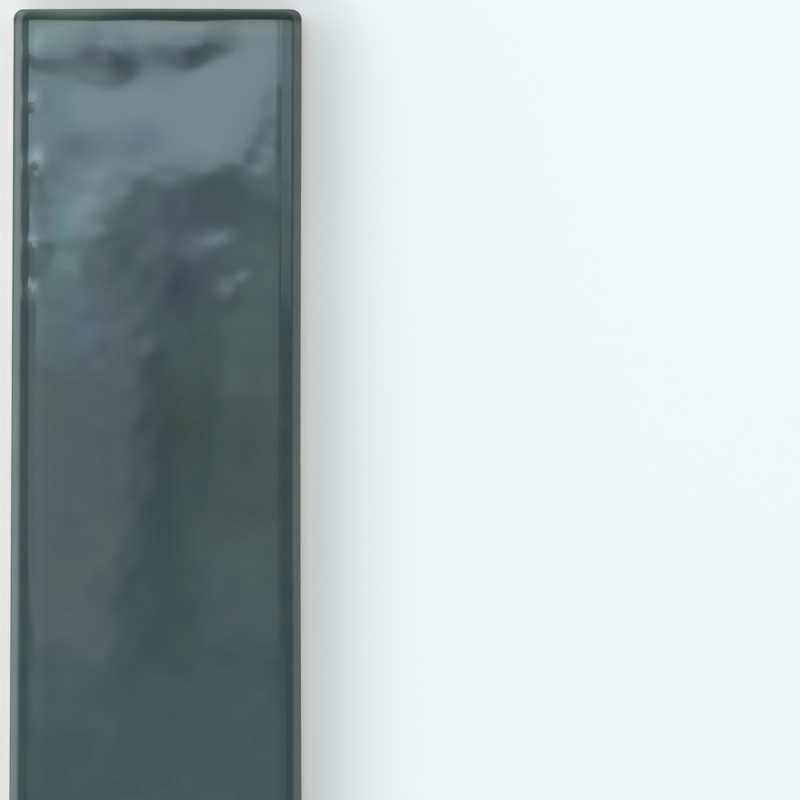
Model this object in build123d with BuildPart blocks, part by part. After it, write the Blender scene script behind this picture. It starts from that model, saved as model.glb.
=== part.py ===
"""Glazed ceramic wall tile in the long "bar" format, pressed and fired in one piece.

It lies on its back, with the glazed face up. Millimetres, +Z up. The origin is the middle
of the back. +Y points to the head end, which is a little narrower than the foot end.

The face isn't flat: it is a pressed surface with broad, shallow swells and two low ridges
across the head end, and it rolls down to the edges in wide rounded shoulders. The back has
shallow keying pockets between ribs.
"""

from build123d import *
import math
import os

# Overall sizes
length = 200.0
width = 65.0
thickness = 8.5

# Outline: a hand-finished tile is never quite square
narrowing = 1.1
edge_wander = 0.25
edge_points = 9
corner_radius = 2.2

# Shoulders: how deep and how wide the face rolls off
side_fall = 1.9
left_reach_head = 5.4
left_reach_foot = 7.0
right_reach = 5.6
head_fall = 0.8
head_reach = 4.2
foot_fall = 1.2
foot_reach = 4.8
arris_radius = 1.0

# The foot of the side walls
back_chamfer_in = 0.8
back_chamfer_up = 1.6

# Keying pockets of the back
pocket_columns = 2
pocket_rows = 7
pocket_depth = 0.6
rib_width = 4.0
back_border = 5.0
pocket_corner = 2.0
pocket_draft = 30.0

# Swells of the face: middle across and along, reach across and along, height
swells = [
    (-18.0, 29.0, 15.0, 24.0, 0.10),
    (17.0, 9.0, 22.0, 40.0, 0.10),
    (-6.0, -66.0, 30.0, 32.0, 0.08),
    (20.0, -52.0, 16.0, 30.0, 0.05),
    (-20.0, 44.1, 11.0, 9.5, 0.14),
    (14.2, 69.6, 9.0, 12.0, 0.08),
]

# Two low ridges across the head end: the same, but the second number is the distance from that end
head_ridges = [
    (-11.6, 6.0, 9.0, 8.0, 0.40),
    (8.1, 7.2, 7.0, 4.8, 0.21),
]

# Stations at which the face is worked out: close together at the edges, wider apart inside
rim_band = 10.0
rim_spacing = 1.0
face_spacing = 3.0
overhang = 3.0
face_tolerance = 0.01


def head_share(y):
    """How far y lies from the foot end to the head end, from 0 to 1."""
    return (y + length / 2) / length


def left_edge(y):
    """X of the left edge, which leans in towards the head end."""
    return -width / 2 + narrowing * head_share(y)


def right_edge(y):
    """X of the right edge, which has one long shallow hollow."""
    return width / 2 - edge_wander * math.sin(math.pi * head_share(y)) ** 2


def head_edge(x):
    """Y of the head end, which falls back a little towards both corners."""
    return length / 2 - edge_wander * math.sin(math.pi * x / width) ** 2 / 2


def foot_edge(x):
    """Y of the foot end, which falls back a little towards both corners."""
    return -length / 2 + edge_wander * math.sin(math.pi * x / width) ** 2 / 2


def hill(x, y, across, along, reach_x, reach_y, height):
    """Height of one rounded hill at a place: a bell curve in both directions."""
    return height * math.exp(-(((x - across) / reach_x) ** 2) - ((y - along) / reach_y) ** 2)


def roll_off(inset, fall, reach):
    """How far a shoulder has dropped at an inset from its edge: nothing at its reach."""
    return fall * max((reach - inset) / reach, 0) ** 3


def face_height(x, y):
    """Height of the pressed face: swells and ridges, less the shoulders along all four edges."""
    swell_sum = sum(hill(x, y, *swell) for swell in swells)
    ridge_sum = sum(hill(x, length / 2 - y, *ridge) for ridge in head_ridges)
    left_reach = left_reach_foot + (left_reach_head - left_reach_foot) * head_share(y)
    drops = [
        roll_off(x - left_edge(y), side_fall, left_reach),
        roll_off(right_edge(y) - x, side_fall, right_reach),
        roll_off(head_edge(x) - y, head_fall, head_reach),
        roll_off(y - foot_edge(x), foot_fall, foot_reach),
    ]
    return thickness + swell_sum + ridge_sum - sum(drops)


def stations(half_span):
    """Places along one side, from beyond one edge to beyond the other."""
    inner = half_span - rim_band
    fine_count = round((rim_band + overhang) / rim_spacing)
    coarse_count = round(2 * inner / face_spacing)
    fine = [inner + (rim_band + overhang) * i / fine_count for i in range(fine_count + 1)]
    coarse = [-inner + 2 * inner * i / coarse_count for i in range(1, coarse_count)]
    return [-place for place in reversed(fine)] + coarse + fine


def edge_places(half_span):
    """Evenly spaced places from one corner of the outline to the next."""
    return [half_span * (2 * i / (edge_points - 1) - 1) for i in range(edge_points)]


def face_point(across, along):
    """Point of the pressed face at a place on the plain rectangle, moved with the outline's edges."""
    x = left_edge(along) + (across / width + 0.5) * (right_edge(along) - left_edge(along))
    y = foot_edge(x) + (along / length + 0.5) * (head_edge(x) - foot_edge(x))
    return x, y, face_height(x, y)


# The rows run from right to left and from foot to head, so that the face looks up
face_points = [
    [face_point(across, along) for across in reversed(stations(width / 2))]
    for along in stations(length / 2)
]
pressed_face = Face.make_surface_from_array_of_points(
    face_points, tol=face_tolerance, min_deg=3, max_deg=5
)

head_left = (left_edge(length / 2), head_edge(left_edge(length / 2)))
head_right = (right_edge(length / 2), head_edge(right_edge(length / 2)))
foot_left = (left_edge(-length / 2), foot_edge(left_edge(-length / 2)))
foot_right = (right_edge(-length / 2), foot_edge(right_edge(-length / 2)))

with BuildPart() as tile:
    # The blank, taller than the tile, with its four upright corners rounded
    with BuildSketch() as outline:
        with BuildLine():
            Spline(foot_left, *[(left_edge(y), y) for y in edge_places(length / 2)[1:-1]], head_left)
            Spline(head_left, *[(x, head_edge(x)) for x in edge_places(width / 2)[1:-1]], head_right)
            Spline(head_right, *[(right_edge(-y), -y) for y in edge_places(length / 2)[1:-1]], foot_right)
            Spline(foot_right, *[(-x, foot_edge(-x)) for x in edge_places(width / 2)[1:-1]], foot_left)
        make_face()
    extrude(amount=thickness + overhang)
    fillet(tile.edges().filter_by(Axis.Z), corner_radius)

    # The pressed face cuts the blank to height, and the arris is rounded over
    split(bisect_by=pressed_face, keep=Keep.BOTTOM)
    fillet(tile.faces().sort_by(Axis.Z)[-1].edges(), arris_radius)

    # The foot of the side walls draws in, as it does where a pressed tile leaves its die
    chamfer(tile.faces().sort_by(Axis.Z)[0].edges(), back_chamfer_up, back_chamfer_in)

    # The keying pockets of the back
    pocket_width = (width - 2 * back_border - (pocket_columns - 1) * rib_width) / pocket_columns
    pocket_length = (length - 2 * back_border - (pocket_rows - 1) * rib_width) / pocket_rows
    with BuildSketch(Plane.XY) as pockets:
        with GridLocations(
            pocket_width + rib_width, pocket_length + rib_width, pocket_columns, pocket_rows
        ):
            RectangleRounded(pocket_width, pocket_length, pocket_corner)
    extrude(amount=pocket_depth, taper=pocket_draft, mode=Mode.SUBTRACT)

tile.part.label = "tile"
os.makedirs("parts", exist_ok=True)
export_step(tile.part, "parts/tile.step")
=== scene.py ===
# %% [markdown]
# # A glazed ceramic wall tile
#
# The tile is one pressed and fired piece, about the length of a hand. Its face carries a dark
# teal glaze that melted in the kiln and set like glass. The clay under it was never quite flat,
# and the glaze gathered in low ridges near the head end, so a studio light reflected in the face
# bends into streaks and beads. That is the whole look of this object: little colour, and a mirror
# that isn't quite true.
#
# Such a tile could be a box with a noise texture for its bumps. A bump map bends the light but
# leaves the outline and the edge flat, and the rounded shoulders here fall by more than two
# millimetres. So the surface is worked out point by point, as a height above the back.
#
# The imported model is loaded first, as a fixed frame. It could be dressed and shown, but its mesh
# is loose triangles without the ripples and the lip of the glaze. So it lends its place and its
# size, and a finer mesh will stand in for it.

import bpy
import numpy as np
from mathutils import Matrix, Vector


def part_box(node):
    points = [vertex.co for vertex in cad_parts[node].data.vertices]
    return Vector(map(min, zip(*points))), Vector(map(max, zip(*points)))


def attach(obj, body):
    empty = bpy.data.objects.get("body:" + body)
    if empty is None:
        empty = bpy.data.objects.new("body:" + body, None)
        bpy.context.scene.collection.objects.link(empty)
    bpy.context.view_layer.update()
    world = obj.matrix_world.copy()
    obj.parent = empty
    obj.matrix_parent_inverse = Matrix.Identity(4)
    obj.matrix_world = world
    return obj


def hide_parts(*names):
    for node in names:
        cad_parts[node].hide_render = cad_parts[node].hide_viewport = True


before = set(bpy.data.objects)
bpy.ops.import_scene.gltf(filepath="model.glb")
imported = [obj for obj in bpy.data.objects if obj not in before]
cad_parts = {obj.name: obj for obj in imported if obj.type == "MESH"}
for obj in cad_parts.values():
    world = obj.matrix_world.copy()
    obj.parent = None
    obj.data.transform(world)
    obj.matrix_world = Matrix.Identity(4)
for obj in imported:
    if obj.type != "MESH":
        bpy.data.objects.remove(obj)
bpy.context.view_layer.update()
MM = 0.001
cad_low, cad_high = (np.array(corner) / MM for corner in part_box("tile"))
print("nodes", list(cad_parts), "from", cad_low.round(2), "to", cad_high.round(2), "mm")

# %% [markdown]
# ## Sizes
#
# Everything below is in millimetres until a mesh is made. The width and the length could be
# typed in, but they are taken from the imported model, so that the two always agree. The rest are
# sizes of the real tile: its thickness, how much its left edge leans in, and how far its other
# edges wander from straight.

# %% Sizes of the tile
width = 2 * cad_high[0]
length = 2 * cad_high[1]
thickness = 8.5
narrowing = 1.1
edge_wander = 0.25
print("tile", width.round(2), "x", length.round(2), "x", thickness, "mm")


# %% [markdown]
# ## The outline
#
# Clay shrinks a little unevenly in the kiln, so the four edges are only nearly straight. They
# could be drawn as curves, but the face's points would then have to be fitted between them. As
# functions of the place along them, they give a whole row of points in one step.

# %% Outline
def head_share(y):
    """How far y lies from the foot end (0) to the head end (1)."""
    return (y + length / 2) / length


def left_edge(y):
    """X of the left edge: it leans in evenly towards the head end."""
    return -width / 2 + narrowing * head_share(y)


def right_edge(y):
    """X of the right edge: one long hollow, a half sine wave squared."""
    return width / 2 - edge_wander * np.sin(np.pi * head_share(y)) ** 2


def end_drop(x):
    """How far an end falls back towards its corners: half the wander times a squared sine."""
    return edge_wander * np.sin(np.pi * x / width) ** 2 / 2


def head_edge(x):
    """Y of the head end."""
    return length / 2 - end_drop(x)


def foot_edge(x):
    """Y of the foot end."""
    return -length / 2 + end_drop(x)


def edge_insets(x, y):
    """Distance from each of the four edges, inwards."""
    return {
        "left": x - left_edge(y),
        "right": right_edge(y) - x,
        "head": head_edge(x) - y,
        "foot": y - foot_edge(x),
    }


for name, y in (("foot", -length / 2), ("middle", 0.0), ("head", length / 2)):
    print("width at the", name, round(right_edge(y) - left_edge(y), 2), "mm")

# %% [markdown]
# ## The face
#
# The face has broad swells from the press, two ridges of glaze at the head end, and the smaller
# ripples that a glaze leaves when it flows and sets, about a tenth of a millimetre high or less.
# The ripples are too low to see as shapes, but each bends the mirror.
#
# A noise texture would scatter them at random, and sculpting them by hand couldn't be repeated.
# So each is a rounded hill or hollow with a place: a bell curve with a middle, a reach along and
# across, a turn and a height. The height of the face is their sum. The swells and the ridges are
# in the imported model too.

# %% Hills and hollows of the face
# Middle x, middle y, reach along, reach across, turn in degrees, height
swells = [
    (-18.0, 29.0, 15.0, 24.0, 0.0, 0.10),
    (17.0, 9.0, 22.0, 40.0, 0.0, 0.10),
    (-6.0, -66.0, 30.0, 32.0, 0.0, 0.08),
    (20.0, -52.0, 16.0, 30.0, 0.0, 0.05),
    (-20.0, 44.1, 11.0, 9.5, 10.0, 0.14),
    (14.2, 69.6, 9.0, 12.0, 0.0, 0.08),
]
head_ridges = [
    (-11.6, 94.0, 9.0, 8.0, 0.0, 0.40),
    (8.1, 92.8, 7.0, 4.8, 0.0, 0.21),
]
ripples = [
    (-23.7, 89.4, 6.0, 2.6, 0.0, 0.10),
    (-8.0, 89.5, 5.0, 4.0, -15.0, 0.05),
    (9.0, 92.8, 6.0, 4.0, 18.0, 0.04),
    (0.3, 96.0, 3.8, 5.0, 0.0, 0.11),
    (-16.5, 74.3, 7.0, 5.0, 0.0, 0.05),
    (-30.3, 55.4, 5.0, 9.0, 0.0, -0.10),
    (13.8, 46.3, 5.0, 3.6, 8.0, 0.078),
    (6.1, 43.8, 4.0, 2.4, 10.0, 0.018),
    (19.2, 38.0, 4.2, 3.9, 0.0, 0.106),
    (13.0, 63.0, 8.0, 4.5, 0.0, 0.02),
]
hills = swells + head_ridges + ripples


def hill(x, y, middle_x, middle_y, reach_along, reach_across, turn, height):
    """A bell curve: height times e to the minus sum of two squares.

    They are the distances from the middle, along and across, each over its reach. Along is the
    direction of x, turned counterclockwise.
    """
    cosine, sine = np.cos(np.radians(turn)), np.sin(np.radians(turn))
    along = (x - middle_x) * cosine + (y - middle_y) * sine
    across = (y - middle_y) * cosine - (x - middle_x) * sine
    return height * np.exp(-((along / reach_along) ** 2) - (across / reach_across) ** 2)


print(len(hills), "hills and hollows, the highest of", max(values[-1] for values in hills), "mm")

# %% [markdown]
# ## The shoulders
#
# Each side rolls off over a broad shoulder, as wet glaze and soft clay do towards an edge. A
# Bevel modifier would round all edges alike, but these shoulders differ from side to side, and
# the left one widens towards the foot. So each is a cube curve of the distance from its edge.

# %% Shoulders
# Fall at the edge, reach inwards at the head end, reach inwards at the foot end
shoulders = {
    "left": (1.9, 5.4, 7.0),
    "right": (1.9, 5.6, 5.6),
    "head": (0.8, 4.2, 4.2),
    "foot": (1.2, 4.8, 4.8),
}


def shoulder_drop(side, inset, y):
    """How far the face has rolled off: the fall times the cube of the share of the reach used."""
    fall, reach_head, reach_foot = shoulders[side]
    reach = reach_foot + (reach_head - reach_foot) * head_share(y)
    return fall * ((reach - inset) / reach).clip(0) ** 3


print("shoulders fall by", {side: fall for side, (fall, _, _) in shoulders.items()}, "mm")

# %% [markdown]
# ## The beads
#
# On the left shoulder the glaze drew together in a row of beads, as water does on a waxed rim.
# They could be small balls sunk into the face, but those would meet it in a crease. A bell curve
# that is added to the height swells out of the shoulder without one.

# %% Beads
# Place along the left edge, height
beads = [(91.0, 0.10), (79.6, 0.12), (65.6, 0.20), (48.5, 0.14), (37.6, 0.14)]
bead_inset = 3.4
bead_reach_in = 1.5
bead_reach_along = 1.9


def bead_share(inset, y, middle):
    """One bead's rounded shape, from 0 to 1: a bell curve inwards and along the edge."""
    inwards = (inset - bead_inset) / bead_reach_in
    along = (y - middle) / bead_reach_along
    return np.exp(-(inwards**2) - along**2)


print("beads", len(beads), "at", bead_inset, "mm from the left edge")

# %% [markdown]
# ## Orange peel
#
# Between its ripples the glaze isn't quite smooth either. Faint waves run through it in all
# directions, a few millimetres long and two thousandths of a millimetre high, and they make the
# edge of a reflection waver. A bump texture would do that too, but only in the render: here it is
# in the mesh, where every use of the mesh has it.

# %% Orange peel, and the whole face
peel_seed = 11
peel_waves = 60
peel_lengths = (5.0, 16.0)
peel_height = 0.0022


def orange_peel(x, y):
    """Plane waves with random directions, lengths and phases, summed.

    The sum is divided by the root of half their number, which leaves its usual height at
    peel_height.
    """
    random = np.random.default_rng(peel_seed)
    total = np.zeros(np.shape(x))
    for _ in range(peel_waves):
        heading, phase = random.uniform(0, 2 * np.pi, 2)
        wave = 2 * np.pi / random.uniform(*peel_lengths)
        total += np.sin(wave * (x * np.cos(heading) + y * np.sin(heading)) + phase)
    return peel_height * total * np.sqrt(2 / peel_waves)


def face_height(x, y):
    """Height above the back: thickness, hills, beads and orange peel, less the shoulders."""
    height = np.full(np.shape(x), thickness)
    for values in hills:
        height += hill(x, y, *values)
    insets = edge_insets(x, y)
    for side, inset in insets.items():
        height -= shoulder_drop(side, inset, y)
    for middle, bead_height in beads:
        height += bead_height * bead_share(insets["left"], y, middle)
    return height + orange_peel(x, y)


print("orange peel of", peel_waves, "waves,", peel_lengths, "mm long")

# %% [markdown]
# ## The grid of the face, and the walk round its border
#
# The face has four rounded corners. One grid stretched over all of it would pinch there, so the
# middle of the face is a plain grid that stops short of the outline by the corner radius, with
# four sharp corners of its own. The rest is a section that is carried round it: at a corner the
# section stands still and turns, like a compass, and draws the rounded corner.
#
# The columns are closer together near the long edges, where the face bends most.

# %% Core grid and border walk
corner_radius = 2.2
columns = 92
rows = 312
bunching = 0.45
corner_steps = 8


def core_points():
    """X and y of a grid that lies one corner radius in from the edges.

    A column's place is its share of the width, less a sine that bunches it towards both sides.
    """
    even = np.linspace(0, 1, columns + 1)[None, :]
    across = even - bunching * np.sin(2 * np.pi * even) / (2 * np.pi)
    along = np.linspace(0, 1, rows + 1)[:, None]
    inset = corner_radius
    y = -length / 2 + inset + (length - 2 * inset) * along
    x = left_edge(y) + inset + (right_edge(y) - left_edge(y) - 2 * inset) * across
    y = foot_edge(x) + inset + (head_edge(x) - foot_edge(x) - 2 * inset) * along
    return x, y


def border_walk():
    """Counterclockwise round the grid: the number of each border point, and its outward angle.

    At a corner the number is repeated while the angle turns through 90 degrees.
    """
    number = np.arange((rows + 1) * (columns + 1)).reshape(rows + 1, columns + 1)
    turn = 90 * np.arange(1, corner_steps) / corner_steps
    sides = [
        (number[0, :], -90),
        (number[:, -1], 0),
        (number[-1, ::-1], 90),
        (number[::-1, 0], 180),
    ]
    walked, angles = [], []
    for line, outwards in sides:
        walked += [line, np.full(corner_steps - 1, line[-1])]
        angles += [np.full(len(line), outwards), outwards + turn]
    return np.concatenate(walked), np.radians(np.concatenate(angles).astype(float))


core_x, core_y = core_points()
border, outward = border_walk()
border_x, border_y = core_x.ravel()[border], core_y.ravel()[border]
print("face grid", columns, "x", rows, "with", len(border), "sections round it")

# %% [markdown]
# ## The section of the edge
#
# Seen end on, the tile's edge is: a little more face, the rounded arris, a wall, and a narrow
# slope at the foot where the clay left its die. The arris takes up the slope of the shoulder and
# turns it upright. The glaze runs over it and stops partway down the wall in a wandering line,
# with a lip as thick as the glaze. Below it the bare fired clay, the biscuit, shows.
#
# A profile curve with a bevel would carry one section unchanged all round. Here each row of the
# section is an outward step and a height, and both may differ from place to place round the
# tile, so the arris can follow the face and the lip can wander.

# %% Face and arris rows
arris_radius = 1.0
face_steps = 5
arris_steps = 7
# The shoulder's slope is measured this many radii in from the edge, this far to both sides
slope_inset = 0.3
slope_probe = 0.2


def outward_height(step):
    """Height of the face at an outward step from the core grid's border."""
    return face_height(border_x + step * np.cos(outward), border_y + step * np.sin(outward))


def arris_rows():
    """Rows of (outward step, height, is it glazed) from the core grid over the arris.

    The arris is part of a circle, from the shoulder's slope to upright. At each tilt the step is
    the corner radius less the arris radius times (1 - sine), and the height has fallen by the
    arris radius times the difference of the cosines.
    """
    near_edge = corner_radius - slope_inset * arris_radius
    fall = outward_height(near_edge - slope_probe) - outward_height(near_edge + slope_probe)
    slope = np.arctan(fall / (2 * slope_probe))
    start = corner_radius - arris_radius * (1 - np.sin(slope))
    shares = np.linspace(0, 1, face_steps)[1:]
    found = [(start * share, outward_height(start * share), True) for share in shares]
    face_end = found[-1][1]
    for share in np.linspace(0, 1, arris_steps)[1:]:
        tilt = slope + (np.pi / 2 - slope) * share
        step = corner_radius - arris_radius * (1 - np.sin(tilt))
        found.append((step, face_end - arris_radius * (np.cos(slope) - np.cos(tilt)), True))
    return found


section = arris_rows()
wall_top = section[-1][1]
print("the wall starts between", wall_top.min().round(2), "and", wall_top.max().round(2), "mm up")

# %% [markdown]
# The lip's line could be a noise texture that hides the glaze below a height, but then it would
# have no thickness. So it is a row of points like the others. It wanders in sine waves that fit
# the tile's perimeter a whole number of times, and so its end meets its start.

# %% Line of the lip
glaze_line_seed = 5
glaze_line_height = 4.0
glaze_line_swing = 1.0
glaze_line_waves = range(2, 46)
wave_fading = 0.6


def glaze_line():
    """Height at which the glaze stops, round the tile: its mean plus a sum of sine waves.

    A wave's height is one over its number to the power of wave_fading. The sum is scaled so that
    it reaches glaze_line_swing.
    """
    random = np.random.default_rng(glaze_line_seed)
    ahead_x, ahead_y = np.roll(border_x, -1), np.roll(border_y, -1)
    stride = np.hypot(ahead_x - border_x, ahead_y - border_y)
    share = np.cumsum(stride) / stride.sum()
    total = np.zeros(len(border_x))
    for wave in glaze_line_waves:
        phase = random.uniform(0, 2 * np.pi)
        total += np.sin(2 * np.pi * wave * share + phase) / wave**wave_fading
    return glaze_line_height + glaze_line_swing * total / np.abs(total).max()


lip_line = glaze_line()
print("the lip lies between", lip_line.min().round(2), "and", lip_line.max().round(2), "mm up")

# %% Wall rows
glaze_step = 0.14
# Shares of the way down from the arris to where the lip starts, which is this high over its line
wall_shares = (0.3, 0.65, 1.0)
lip_start = 0.3
# The lip: how far in as a share of the glaze's thickness, and the height over its line
lip = [(0.2, 0.14), (0.6, 0.03), (1.0, 0.0)]
bare_start = 0.1
back_chamfer_in = 0.8
back_chamfer_up = 1.6
# The two rounded corners of the foot: outwards and upwards from where they would be sharp
upper_corner = [(0.0, 0.12), (-0.04, -0.05)]
lower_corner = [(0.03, 0.12), (-0.08, 0.02), (-0.25, 0.0)]


def wall_rows(line):
    """Rows straight down to the lip, in over it, and down the bare clay to the rounded foot."""
    level = np.ones(len(line))
    found = []
    for share in wall_shares:
        height = wall_top + share * (line + lip_start - wall_top)
        found.append((corner_radius * level, height, True))
    for share, rise in lip:
        found.append(((corner_radius - share * glaze_step) * level, line + rise, True))
    wall = (corner_radius - glaze_step) * level
    found.append((wall, line - bare_start, False))
    found.append((wall, (line + back_chamfer_up) / 2, False))
    for outwards, upwards in upper_corner:
        found.append((wall + outwards, (back_chamfer_up + upwards) * level, False))
    foot = (corner_radius - back_chamfer_in) * level
    for outwards, upwards in lower_corner:
        found.append((foot + outwards, upwards * level, False))
    return found


section += wall_rows(lip_line)
print("section of", len(section), "rows")

# %% [markdown]
# ## The back
#
# A pressed tile has keying pockets in its back, between ribs, so that the adhesive grips. The
# photo doesn't show them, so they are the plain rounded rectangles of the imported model.
#
# Boolean cuts would make them, and leave long thin faces between them. Instead the back is a
# height over a grid, as the face is, with as many lines as the face has, so that the two join
# through the edge without a seam. The lines are bunched where a pocket's wall rises and spread
# out where it is flat.

# %% Grid of the back
pocket_columns = 2
pocket_rows = 7
rib_width = 4.0
back_border = 5.0
# Distances inwards from a pocket's rim at which there is a grid line
near_wall = np.array([-0.12, 0.0, 0.12, 0.24, 0.36, 0.5, 0.75, 1.05, 1.4, 1.8, 2.3])
# How far the grid reaches beyond the outermost pockets
grid_margin = 0.6


def pocket_edges(size, count):
    """Start and end of each pocket along one direction, centred on the tile."""
    pocket = (size - 2 * back_border - (count - 1) * rib_width) / count
    starts = -size / 2 + back_border + np.arange(count) * (pocket + rib_width)
    return starts, starts + pocket


def grid_lines(size, count, wanted):
    """Lines along one direction: a bunch at each pocket wall, then more where gaps are widest."""
    starts, ends = pocket_edges(size, count)
    edge = size / 2 - back_border + grid_margin
    bunches = [np.array([-edge, edge])]
    bunches += [start + near_wall for start in starts] + [end - near_wall for end in ends]
    lines = np.unique(np.concatenate(bunches).round(4))
    while len(lines) < wanted:
        widest = np.argmax(np.diff(lines))
        lines = np.insert(lines, widest + 1, lines[widest : widest + 2].mean())
    return lines


lines_x = grid_lines(width, pocket_columns, columns + 1)
lines_y = grid_lines(length, pocket_rows, rows + 1)
back_x, back_y = np.meshgrid(lines_x, lines_y)
print("back grid", back_x.shape, "with pockets", pocket_columns * pocket_rows)

# %% Pockets of the back
pocket_depth = 0.6
pocket_draft = 30.0
pocket_corner = 2.0
wall_reach = pocket_depth * np.tan(np.radians(pocket_draft))


def pocket_height(x, y):
    """Height of the back: the distance inside a rounded rectangle, over the reach of its wall.

    It is held between 0 and 1 and multiplied by the pocket's depth. Beyond is the usual distance
    to a rectangle that is smaller by the corner radius all round, negative inside it.
    """
    height = np.zeros(np.shape(x))
    for start_x, end_x in zip(*pocket_edges(width, pocket_columns)):
        for start_y, end_y in zip(*pocket_edges(length, pocket_rows)):
            side_x = np.abs(x - (start_x + end_x) / 2) - (end_x - start_x) / 2 + pocket_corner
            side_y = np.abs(y - (start_y + end_y) / 2) - (end_y - start_y) / 2 + pocket_corner
            within = np.minimum(np.maximum(side_x, side_y), 0)
            beyond = np.hypot(side_x.clip(0), side_y.clip(0)) + within
            height += pocket_depth * ((pocket_corner - beyond) / wall_reach).clip(0, 1)
    return height


back_z = pocket_height(back_x, back_y)
print("pockets", back_z.max().round(2), "mm deep, with walls", wall_reach.round(2), "mm wide")


# %% [markdown]
# ## Joining the parts into one closed mesh
#
# The points are stacked as face, section rows and back. Separate meshes could be joined and
# their doubled points merged, but here the numbers of the points are known, so the faces are made
# straight from them and nothing has to be merged. Where the section turns at a corner, the grid
# point stays the same from one section to the next, so the four-sided face there has only three
# corners left.

# %% Faces of the mesh
def strip(upper, lower):
    """Four-sided faces between two closed rows of points, counterclockwise from outside."""
    return np.stack([lower, np.roll(lower, -1), np.roll(upper, -1), upper], 1)


def grid_faces(numbers):
    """Four-sided faces of a grid of point numbers, counterclockwise from above."""
    corners = [numbers[:-1, :-1], numbers[:-1, 1:], numbers[1:, 1:], numbers[1:, :-1]]
    return np.stack(corners, -1).reshape(-1, 4)


core_count = core_x.size
section_count = len(section) * len(border)
core_numbers = np.arange(core_count).reshape(core_x.shape)
row_numbers = core_count + np.arange(section_count).reshape(len(section), -1)
back_numbers = core_count + section_count + core_numbers

# Each patch is its faces, and whether they are glazed
patches = [(grid_faces(core_numbers), True), (strip(border, row_numbers[0]), True)]
for upper, lower, (_, _, glazed) in zip(row_numbers[:-1], row_numbers[1:], section[1:]):
    patches.append((strip(upper, lower), glazed))
patches.append((strip(row_numbers[-1], back_numbers.ravel()[border]), False))
patches.append((grid_faces(back_numbers)[:, ::-1], False))

quads = np.concatenate([faces for faces, _ in patches])
is_biscuit = np.concatenate([np.full(len(faces), not glazed) for faces, glazed in patches])
# A dictionary keeps each point number once, in its order, so a repeated corner drops out
faces = [list(dict.fromkeys(face)) for face in quads.tolist()]
print("faces", len(faces), "of which bare clay", is_biscuit.sum())

# %% Points of the mesh
section_x = np.concatenate([border_x + step * np.cos(outward) for step, _, _ in section])
section_y = np.concatenate([border_y + step * np.sin(outward) for step, _, _ in section])
section_z = np.concatenate([height for _, height, _ in section])
points = np.stack(
    [
        np.concatenate([core_x.ravel(), section_x, back_x.ravel()]),
        np.concatenate([core_y.ravel(), section_y, back_y.ravel()]),
        np.concatenate([face_height(core_x, core_y).ravel(), section_z, back_z.ravel()]),
    ],
    1,
)
print("points", len(points), "up to", points[:, 2].max().round(2), "mm high")
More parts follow.
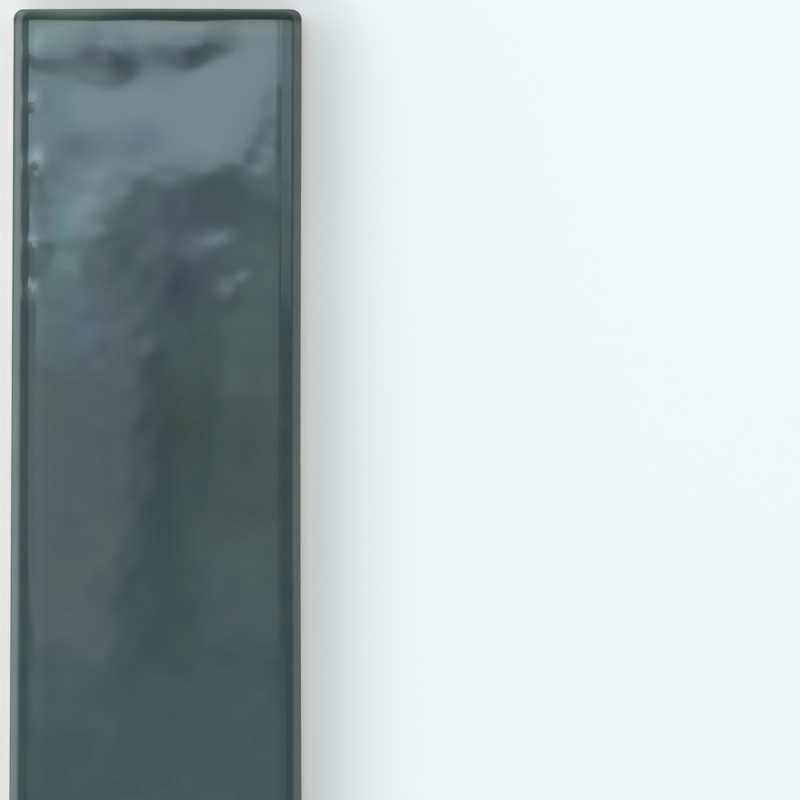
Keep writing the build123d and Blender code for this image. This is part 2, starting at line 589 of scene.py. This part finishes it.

# %% [markdown]
# ## The glaze's colours, painted light and haze, point by point
#
# Three things on the glaze follow the shape. The glaze isn't one colour: there are clouds of teal,
# olive, slate and blue in it. Among them are painted highlights, pale patches where the beads and
# the left shoulder glint and where the soft box's reflection is brightest, and darker patches,
# many of them painted shade in the dark marks of the reflections and under and between the beads.
# On the shoulders a darker line runs all round, partly glaze that pooled there and partly painted
# shade where the edge rolls away, broken by the beads on the left. And where the glaze pooled,
# fine crystals grew in it as it cooled, and there the mirror is hazy.
#
# They could be painted on an image, but a value on each point needs no picture and stays with
# the mesh. A cloud is a bell curve like the hills of the face, with a strength for its height.

# %% Colour clouds, with painted highlights and painted shade
# Colour, and for each cloud: middle x, middle y, reach along, reach across, turn, strength
clouds = {
    # Painted highlights: pale patches that paint the glints on the beads and the left shoulder and
    # parts of the soft box's reflection
    "painted_highlights": (
        "#A3B0B2",
        [
            (-25.6, 67.2, 2.0, 2.6, 0.0, 0.55),
            (-27.0, 80.5, 1.2, 1.6, 0.0, 0.25),
            (-27.0, 48.8, 1.0, 1.6, 0.0, 0.30),
            (-27.0, 38.0, 1.0, 2.2, 0.0, 0.30),
            (-16.5, 57.5, 4.5, 5.0, -30.0, 0.15),
            (-12.0, 62.5, 4.0, 3.0, 0.0, 0.09),
            (22.6, 64.4, 2.0, 1.3, 0.0, 0.12),
            # A faint line along the left shoulder: partly glaze thinning there, partly a painted
            # highlight
            (-25.8, 5.0, 1.5, 70.0, -0.3, 0.04),
            (26.0, 71.9, 2.2, 2.6, 0.0, 0.14),
            (29.3, 90.0, 1.5, 8.0, 0.0, 0.10),
            (-26.7, 59.7, 1.5, 2.5, 0.0, 0.14),
        ],
    ),
    "green": (
        "#8AA596",
        [
            (-22.0, 94.5, 5.0, 3.0, 0.0, 0.3),
            (-26.0, 92.5, 2.0, 2.5, 0.0, 0.3),
            (-18.0, 98.3, 9.0, 1.2, 0.0, 0.5),
        ],
    ),
    "teal": (
        "#2C5650",
        [
            (-21.0, 69.0, 5.0, 30.0, 0.0, 0.6),
            (-20.0, 44.0, 4.0, 16.0, 0.0, 0.6),
        ],
    ),
    "sand": (
        "#94835F",
        [
            (12.0, 95.6, 20.0, 1.8, 0.0, 0.22),
            (-17.4, 97.0, 5.0, 1.5, 0.0, 0.2),
        ],
    ),
    "olive": (
        "#4A4F38",
        [
            (6.0, 7.0, 5.0, 7.0, 0.0, 0.45),
            (23.0, 4.0, 7.0, 26.0, 0.0, 0.2),
            (22.0, 96.8, 9.0, 1.6, 0.0, 0.8),
        ],
    ),
    "slate": (
        "#454B58",
        [
            (4.0, 51.0, 7.0, 7.0, 0.0, 0.55),
            (6.5, 39.0, 5.0, 6.0, 0.0, 0.4),
            (14.0, 50.0, 8.0, 14.0, 0.0, 0.25),
            (-13.0, 29.0, 6.0, 10.0, 0.0, 0.35),
            (17.0, -35.0, 6.0, 7.0, 0.0, 0.3),
        ],
    ),
    "blue": ("#2F4454", [(-15.5, 30.0, 6.0, 9.0, 0.0, 0.5)]),
    # Darker patches of the glaze. Many are painted shade: the dark marks in the reflections at the
    # head end and down the middle, the shade under and between the beads, and one spot that damps
    # a highlight
    "dark_glaze_and_painted_shade": (
        "#2F3D41",
        [
            (1.0, -1.0, 5.0, 30.0, 4.0, 0.5),
            (4.3, 38.0, 4.0, 9.0, 0.0, 0.7),
            (5.0, 8.0, 9.0, 9.0, 0.0, 0.3),
            (4.3, 43.8, 3.5, 2.2, 0.0, 0.6),
            (5.2, 57.8, 3.5, 2.5, 0.0, 0.5),
            (-9.0, 87.5, 6.0, 3.0, -8.0, 0.8),
            (-13.5, 90.0, 4.5, 2.4, -8.0, 0.9),
            (-12.5, 94.5, 3.0, 2.0, 0.0, 0.4),
            (5.5, 93.0, 3.5, 3.0, 0.0, 0.5),
            (2.0, 86.0, 7.0, 4.0, 0.0, 0.5),
            (-2.4, 71.2, 5.0, 4.5, 0.0, 1.0),
            (-18.5, 68.5, 5.0, 3.5, 0.0, 0.9),
            (-21.0, 63.0, 3.5, 3.5, 0.0, 1.0),
            (-5.0, 60.3, 2.5, 2.0, 0.0, 0.8),
            (24.4, 68.2, 2.4, 2.4, 0.0, 0.5),
            (18.7, 67.0, 3.0, 3.0, 0.0, 0.7),
            (-24.4, 52.7, 2.0, 3.0, 0.0, 1.0),
            (-24.2, 78.3, 2.0, 3.0, 0.0, 0.6),
            (19.0, 1.0, 9.0, 12.0, 0.0, 0.25),
            (0.0, -57.0, 22.0, 18.0, 0.0, 0.25),
            (9.0, 90.5, 7.0, 2.5, 20.0, 0.9),
            (-23.0, 87.3, 6.0, 2.4, 0.0, 0.8),
        ],
    ),
}
print("clouds", {name: len(group) for name, (_, group) in clouds.items()})

# %% Glaze fields
# Middle x, middle y, reach along, reach across, turn, strength
hazes = [
    (-11.0, 89.0, 12.0, 6.0, -5.0, 1.0),
    (7.0, 91.0, 10.0, 6.0, 20.0, 1.0),
    (-23.0, 88.0, 8.0, 3.0, 0.0, 0.5),
    (-11.0, 69.5, 15.0, 4.5, 0.0, 0.7),
    (13.0, 47.5, 7.0, 4.5, 10.0, 0.8),
    (17.5, 39.0, 5.0, 4.5, 0.0, 0.8),
]
# Inset of the middle of each shoulder line, partly pooled glaze and partly painted shade, strength
pooled_glaze_and_painted_shade_insets = {"left": (3.2, 0.2), "right": (3.6, 0.25), "head": (2.2, 0.7), "foot": (2.4, 0.3)}
# The line's reach as a share of its inset, and how much of it a bead takes away
line_reach = 0.45
bead_thinning = 0.7


def cloud_field(x, y, group):
    """The sum of a group of clouds, held between 0 and 1."""
    return sum(hill(x, y, *cloud) for cloud in group).clip(0, 1)


def pooled_glaze_and_painted_shade_field(x, y):
    """The strongest of the four shoulder lines of pooled glaze and painted shade, each a bell
    curve across its inset.

    It is multiplied by 1 less the share that a bead takes away, for each bead in turn.
    """
    insets = edge_insets(x, y)
    lines = []
    for side, (middle, strength) in pooled_glaze_and_painted_shade_insets.items():
        off_middle = (insets[side] - middle) / (line_reach * middle)
        lines.append(strength * np.exp(-(off_middle**2)))
    field = np.maximum.reduce(lines)
    for middle, _ in beads:
        field = field * (1 - bead_thinning * bead_share(insets["left"], y, middle))
    return field


points_x, points_y = points[:, 0], points[:, 1]
fields = {name: cloud_field(points_x, points_y, group) for name, (_, group) in clouds.items()}
fields["pooled_glaze_and_painted_shade"] = pooled_glaze_and_painted_shade_field(points_x, points_y)
fields["haze"] = cloud_field(points_x, points_y, hazes)
print("fields", {name: round(float(values.max()), 2) for name, values in fields.items()})

# %% [markdown]
# ## The mesh
#
# Numbers become a mesh in one call. The glaze and the clay could be two objects, but a tile is
# one piece, so it is one mesh, and each face says which of two materials it takes. Smooth shading
# suits the rounded face. The lip of the glaze and the rims of the pockets stay crisp, because an
# edge where the surface turns by more than the sharp angle is left out of the smoothing.

# %% Make the tile
sharp_angle = 38

mesh = bpy.data.meshes.new("glazed_tile")
mesh.from_pydata((points * MM).tolist(), [], faces)
mesh.polygons.foreach_set("material_index", is_biscuit.astype(np.int32))
mesh.shade_smooth()
mesh.set_sharp_from_angle(angle=np.radians(sharp_angle))
for name, values in fields.items():
    attribute = mesh.attributes.new(name, "FLOAT", "POINT")
    attribute.data.foreach_set("value", values.astype(np.float32))
mesh.validate()
tile = bpy.data.objects.new("glazed_tile", mesh)
bpy.context.scene.collection.objects.link(tile)
mesh.calc_loop_triangles()
print("tile mesh", len(mesh.vertices), "points", len(mesh.loop_triangles), "triangles")


# %% [markdown]
# ## Materials
#
# Both finishes of the tile are a stack of colours: a ground, and tints laid over it where a
# pattern or a field is strong. Colours are written as they look on screen, as sRGB hex values,
# and one function turns them into the linear numbers that the shader needs. Nodes could be
# placed by hand in the shader editor. Written out, a table of sizes and colours is the whole
# recipe, and a pattern's size can be read in millimetres.

# %% Helpers for materials
def colour(text):
    """A hex colour as linear red, green, blue and 1: the sRGB curve undone on each channel."""
    shown = np.array([int(text[start : start + 2], 16) for start in (1, 3, 5)]) / 255
    linear = np.where(shown <= 0.04045, shown / 12.92, ((shown + 0.055) / 1.055) ** 2.4)
    return (*linear.tolist(), 1.0)


def add(tree, kind, inputs=None, **settings):
    """Adds a node. A setting is a property of it. An input is a value, or a socket to link."""
    node = tree.nodes.new(kind)
    for name, value in settings.items():
        setattr(node, name, value)
    for name, value in (inputs or {}).items():
        if isinstance(value, bpy.types.NodeSocket):
            tree.links.new(value, node.inputs[name])
        else:
            node.inputs[name].default_value = value
    return node


def new_material(name):
    """A material with an empty node tree."""
    material = bpy.data.materials.new(name)
    material.use_nodes = True
    material.node_tree.nodes.clear()
    return material


print("the ground of the glaze, #404F4F, is", np.round(colour("#404F4F"), 3), "in linear light")


# %% Patterns and tints
def lay_patterns(tree, patterns):
    """For each row of a table, noise on the object's own coordinates, stretched and stopped.

    A row is the size of the pattern in millimetres, its detail, two values of the noise, and
    what they become. Object coordinates are in metres, so the scale is one over the size in
    metres.
    """
    place = add(tree, "ShaderNodeTexCoord").outputs["Object"]
    shares = {}
    for name, (size, detail, noise_low, noise_high, low, high) in patterns.items():
        inputs = {"Vector": place, "Scale": 1 / (size * MM), "Detail": detail}
        noise = add(tree, "ShaderNodeTexNoise", inputs).outputs["Fac"]
        inputs = {"Value": noise, "From Min": noise_low, "From Max": noise_high}
        inputs.update({"To Min": low, "To Max": high})
        shares[name] = add(tree, "ShaderNodeMapRange", inputs).outputs["Result"]
    return shares


def lay_colours(tree, ground, tints, shares):
    """Lays each tint over the colours so far, by the share that has its name.

    Sockets 0, 6 and 7 of a colour Mix node are the share and the two colours.
    """
    laid = colour(ground)
    for name, tint in tints.items():
        inputs = {0: shares[name], 6: laid, 7: colour(tint)}
        laid = add(tree, "ShaderNodeMix", inputs, data_type="RGBA").outputs[2]
    return laid


# %% [markdown]
# ### Fired glaze
#
# The glaze is a glass, coloured by copper and iron, that melted over the clay. It could be a
# clear shell over a coloured core, but it is deep in colour and the clay doesn't show through
# it, so one glossy surface looks the same. It has the refractive index of glass, about 1.5, so
# seen head on it reflects only a twenty-fifth of a light and looks dark between the reflections.
# It is very smooth, a little less so where it is hazy. Its colour drifts from teal to olive to
# slate over a few centimetres, as its thickness and the fire varied, with a finer mottle and dark
# specks of iron in it.

# %% Glaze material
glass_ior = 1.5
haze_roughness = 0.06
# Size in millimetres, detail, noise from, noise to, value from, value to. The last is a roughness
glaze_patterns = {
    "drift": (16.0, 3.0, 0.38, 0.62, 0.0, 1.0),
    "thick": (6.0, 2.0, 0.52, 0.72, 0.0, 0.3),
    "thin": (6.0, 2.0, 0.48, 0.28, 0.0, 0.3),
    "specks": (0.7, 1.0, 0.62, 0.74, 0.0, 0.2),
    "polish": (9.0, 2.0, 0.30, 0.70, 0.048, 0.062),
}
# Tints in the order in which they are laid: patterns, clouds with painted highlights and shade,
# the shoulder line of pooled glaze and painted shade, specks
tints = {"drift": "#455351", "thick": "#35464A", "thin": "#4D5B58"}
tints.update({name: tint for name, (tint, _) in clouds.items()})
# The shoulder line's colour is partly pooled glaze and partly painted shade where the edge rolls
# away
tints.update({"pooled_glaze_and_painted_shade": "#1E2827", "specks": "#2B3534"})

glaze = new_material("fired_teal_glaze")
tree = glaze.node_tree
shares = lay_patterns(tree, glaze_patterns)
for name in fields:
    shares[name] = add(tree, "ShaderNodeAttribute", attribute_name=name).outputs["Fac"]
# The colour stacks the glaze's tints with the painted highlights and painted shade laid in among
# them
body = lay_colours(tree, "#404F4F", tints, shares)
inputs = {0: shares["haze"], 1: haze_roughness, 2: shares["polish"]}
rough = add(tree, "ShaderNodeMath", inputs, operation="MULTIPLY_ADD").outputs[0]
inputs = {"Base Color": body, "Roughness": rough, "IOR": glass_ior}
shader = add(tree, "ShaderNodeBsdfPrincipled", inputs)
add(tree, "ShaderNodeOutputMaterial", {"Surface": shader.outputs["BSDF"]})
print("glaze of", len(tints), "tints in", len(tree.nodes), "nodes")

# %% [markdown]
# ### Biscuit
#
# The biscuit is the fired clay body: pale buff, dry and matt, with a fine grit of about half a
# millimetre and a faint mottle from the press. The grit could be modelled, but it is too fine to
# change the outline, so it is a bump and darker grains in the colour.

# %% Biscuit material
clay_roughness = 0.88
grit_strength = 0.35
grit_depth = 0.2
# The same columns as for the glaze
clay_patterns = {
    "mottle": (14.0, 3.0, 0.35, 0.65, 0.0, 1.0),
    "dark_grains": (0.45, 1.0, 0.60, 0.72, 0.0, 0.5),
    "grit": (0.45, 1.0, 0.0, 1.0, 0.0, 1.0),
}

biscuit = new_material("buff_biscuit_clay")
tree = biscuit.node_tree
shares = lay_patterns(tree, clay_patterns)
clay = lay_colours(tree, "#CDBFA8", {"mottle": "#BFAF96", "dark_grains": "#8E7C66"}, shares)
inputs = {"Height": shares["grit"], "Strength": grit_strength, "Distance": grit_depth * MM}
relief = add(tree, "ShaderNodeBump", inputs).outputs["Normal"]
inputs = {"Base Color": clay, "Roughness": clay_roughness, "Normal": relief}
shader = add(tree, "ShaderNodeBsdfPrincipled", inputs)
add(tree, "ShaderNodeOutputMaterial", {"Surface": shader.outputs["BSDF"]})
print("biscuit in", len(tree.nodes), "nodes")

# %% [markdown]
# ## Dressing the tile
#
# The mesh takes its two materials in the order of the numbers on its faces, glaze first. It could
# be left as a loose object, but then nothing would say what it is. So it rides on the one body of
# the tile and stands for the imported model's tile.

# %% Dress the tile
mesh.materials.append(glaze)
mesh.materials.append(biscuit)
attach(tile, "root")
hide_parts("tile")
print("materials", [material.name for material in mesh.materials])

# %% [markdown]
# ## The studio
#
# A mirror needs something to reflect. Overhead it is nearly dark, with a few flat panels hung
# above the tile: bright soft boxes towards the head end, and dim cards beside them. Lower down,
# all round, the walls are light, and they give the tile and the floor most of their light
# without showing in the face.
#
# A picture of a studio on the world would do the same, but panels can be moved one at a time
# until each streak falls in its place. Each panel's strength is a radiance, where 1 is as bright
# as a sheet of white paper in this room. Where two panels overlap, their light adds up, and so
# one soft box can have a brighter and a dimmer part. They hang half a millimetre apart, because a
# mirrored ray goes on through a lamp to the ones behind it, but it takes only one of those at the
# same height.

# %% Panels
# Middle x and y, size, turn in degrees, radiance in red, green and blue
panels = {
    "soft_box": ((-200, 262), (400, 288), 0.7, (2.5, 3.3, 3.7)),
    "soft_box_core": ((-55, 262), (110, 288), 1.5, (0.6, 0.75, 0.9)),
    "soft_box_right": ((60, 280), (120, 250), 0, (1.8, 2.4, 2.7)),
    "soft_box_far_right": ((545, 235), (850, 345), 0, (0.75, 1.0, 1.1)),
    "soft_box_far_core": ((545, 265), (850, 290), 0, (0.50, 0.65, 0.72)),
    "right_glow": ((55, 120), (130, 24), 0, (0.60, 0.85, 0.95)),
    "right_glow_foot": ((55, 98), (130, 20), 0, (0.20, 0.27, 0.30)),
    "streak_bright": ((-102, 91), (54, 50), -6, (1.0, 1.25, 1.3)),
    "streak_broad": ((-125, 99), (150, 38), 0, (0.40, 0.52, 0.56)),
    "streak_low": ((-95, 59), (90, 42), 0, (0.40, 0.52, 0.56)),
    "streak_faint": ((-104, 72), (60, 90), -6, (0.30, 0.40, 0.42)),
    "left_card": ((-231, 18), (326, 206), -8, (0.71, 0.76, 0.78)),
    "left_card_foot": ((-250, -100), (340, 60), -5, (0.22, 0.26, 0.28)),
    "left_card_head": ((-112, 46), (70, 50), 0, (0.35, 0.40, 0.44)),
    "middle_card": ((15, 55), (90, 70), 0, (0.50, 0.70, 0.67)),
    "middle_card_foot": ((10, -5), (90, 60), 0, (0.22, 0.32, 0.30)),
    "right_card": ((20, -75), (120, 50), 0, (0.34, 0.50, 0.50)),
    "foot_card": ((0, -230), (800, 240), 0, (0.25, 0.42, 0.44)),
}
panel_height = 1100.0
panel_gap = 0.5


def hang_panel(name, height, middle, size, turn, radiance):
    """An area light that faces down. Its power is its radiance times its area times pi."""
    light = bpy.data.lights.new(name, "AREA")
    light.shape = "RECTANGLE"
    light.size, light.size_y = size[0] * MM, size[1] * MM
    strongest = max(radiance)
    light.color = [value / strongest for value in radiance]
    light.energy = strongest * np.pi * light.size * light.size_y
    panel = bpy.data.objects.new(name, light)
    panel.location = (middle[0] * MM, middle[1] * MM, height * MM)
    panel.rotation_euler = (0, 0, np.radians(turn))
    panel.visible_camera = False
    bpy.context.scene.collection.objects.link(panel)


for number, (name, values) in enumerate(panels.items()):
    hang_panel(name, panel_height + number * panel_gap, *values)
print("panels", len(panels), "from", panel_height, "mm up, each", panel_gap, "mm over the last")

# %% [markdown]
# The world is the room itself. Walls could be built and lit, but a world whose brightness
# depends on the direction does the same for nothing: dim overhead, and bright from just above
# the floor up to about 35 degrees. The bright band is stronger towards the left and the foot,
# where the room's window would be, and so each shoulder of the tile gets its own shade.

# %% World
# Sine of the angle above the floor, from and to, and the share of the walls' light from and to
fades = [(0.02, 0.14, 0.0, 1.0), (0.52, 0.70, 1.0, 0.0)]
window_side = (-0.45, -0.35, 0.0)
wall_light = 2.1
overhead_light = 0.10

world = bpy.data.worlds.new("light_room")
world.use_nodes = True
tree = world.node_tree
tree.nodes.clear()
direction = add(tree, "ShaderNodeTexCoord").outputs["Generated"]
rise = add(tree, "ShaderNodeSeparateXYZ", {"Vector": direction}).outputs["Z"]
inputs = {0: direction, 1: window_side}
sideways = add(tree, "ShaderNodeVectorMath", inputs, operation="DOT_PRODUCT").outputs["Value"]
glow = add(tree, "ShaderNodeMath", {0: sideways, 1: 1.0}, operation="ADD").outputs[0]
for low, high, share_low, share_high in fades:
    inputs = {"Value": rise, "From Min": low, "From Max": high}
    inputs.update({"To Min": share_low, "To Max": share_high})
    fade = add(tree, "ShaderNodeMapRange", inputs).outputs["Result"]
    glow = add(tree, "ShaderNodeMath", {0: glow, 1: fade}, operation="MULTIPLY").outputs[0]
inputs = {0: glow, 1: wall_light, 2: overhead_light}
strength = add(tree, "ShaderNodeMath", inputs, operation="MULTIPLY_ADD").outputs[0]
room = add(tree, "ShaderNodeBackground", {"Color": colour("#F9FFFF"), "Strength": strength})
add(tree, "ShaderNodeOutputWorld", {"Surface": room.outputs["Background"]})
bpy.context.scene.world = world
print("world in", len(tree.nodes), "nodes")

# %% [markdown]
# ## The floor
#
# The tile lies on plain white paper. A background that is white by itself would be simpler, but
# a real sheet catches the tile's soft shadow, and throws light back on its walls. The paper is a
# touch warm, because the room's light is a touch blue, and so it comes out neutral. It lies a
# hair below the tile's back, so that the two surfaces never share a plane.

# %% Floor
floor_half = 4000.0
floor_gap = 0.3

corners = [(-floor_half, -floor_half), (floor_half, -floor_half)]
corners += [(floor_half, floor_half), (-floor_half, floor_half)]
floor_points = [(x * MM, y * MM, -floor_gap * MM) for x, y in corners]
floor_mesh = bpy.data.meshes.new("floor")
floor_mesh.from_pydata(floor_points, [], [(0, 1, 2, 3)])
paper = new_material("white_paper")
tree = paper.node_tree
matt = add(tree, "ShaderNodeBsdfDiffuse", {"Color": colour("#F4EFEF")})
add(tree, "ShaderNodeOutputMaterial", {"Surface": matt.outputs["BSDF"]})
floor_mesh.materials.append(paper)
floor = bpy.data.objects.new("floor", floor_mesh)
bpy.context.scene.collection.objects.link(floor)
print("floor", 2 * floor_half * MM, "m wide")

# %% [markdown]
# ## The camera
#
# The photo looks straight down on the tile from about a metre, with a long lens, so the sides
# don't show. The tile stands left of the middle of the frame and runs out of it at the foot. The
# camera could be moved about until that looks right. Here its place is worked out instead, from
# the number of pixels to a millimetre and the pixels at which two edges of the tile lie. The
# Standard view transform shows a colour as it is written.

# %% Camera
frame_pixels = 800
pixels_per_mm = 4.52
edge_pixel_x = 301.5
edge_pixel_y = 8.0
lens_mm = 200.0
sensor_mm = 36.0

look_x = width / 2 + (frame_pixels / 2 - edge_pixel_x) / pixels_per_mm
look_y = length / 2 - (frame_pixels / 2 - edge_pixel_y) / pixels_per_mm
# The view's width is to the distance as the sensor's width is to the length of the lens
distance = frame_pixels / pixels_per_mm * lens_mm / sensor_mm
camera = bpy.data.cameras.new("camera")
camera.lens = lens_mm
camera.sensor_width = sensor_mm
camera_object = bpy.data.objects.new("camera", camera)
camera_object.location = (look_x * MM, look_y * MM, (thickness + distance) * MM)
bpy.context.scene.collection.objects.link(camera_object)
bpy.context.scene.camera = camera_object
bpy.context.scene.view_settings.view_transform = "Standard"
print("camera over", round(look_x, 1), round(look_y, 1), "at", round(distance), "mm")
